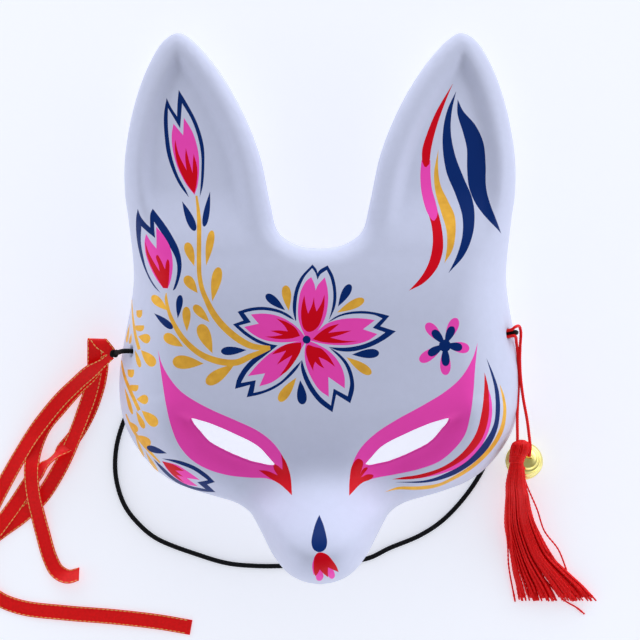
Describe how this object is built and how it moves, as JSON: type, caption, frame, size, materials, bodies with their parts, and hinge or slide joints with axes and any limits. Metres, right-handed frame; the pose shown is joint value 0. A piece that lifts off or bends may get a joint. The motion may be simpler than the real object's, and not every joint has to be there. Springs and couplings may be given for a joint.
{
  "type": "kitsune mask",
  "caption": "Hollow moulded fox half mask with tall ears, open eyes and a short snout, with elastic, ribbon tails, bell and tassel, lying face up.",
  "frame": {"origin": "middle of the mask shell's underside, on the surface it lies on", "axes": "+Y from the snout to the ears, +Z out of the face, up as it lies, +X to the right as the face is looked at with the ears up"},
  "size_m": [0.2888, 0.2751, 0.0746],
  "materials": {
    "painted_shell": "satin white paint with pink, red, blue and gold motifs",
    "black_elastic": "braided cover",
    "red_ribbon": "satin with gold edge stitching",
    "red_thread": "twisted silky thread",
    "gold_bell": "polished gold plating"
  },
  "bodies": {
    "root": {"mask_shell": "painted_shell", "elastic_cord": "black_elastic", "ribbon_tail_1": "red_ribbon", "ribbon_tail_2": "red_ribbon", "ribbon_tail_3": "red_ribbon", "ribbon_tail_4": "red_ribbon", "tassel_cord": "red_thread", "bell": "gold_bell", "tassel": "red_thread"}
  },
  "joints": []
}
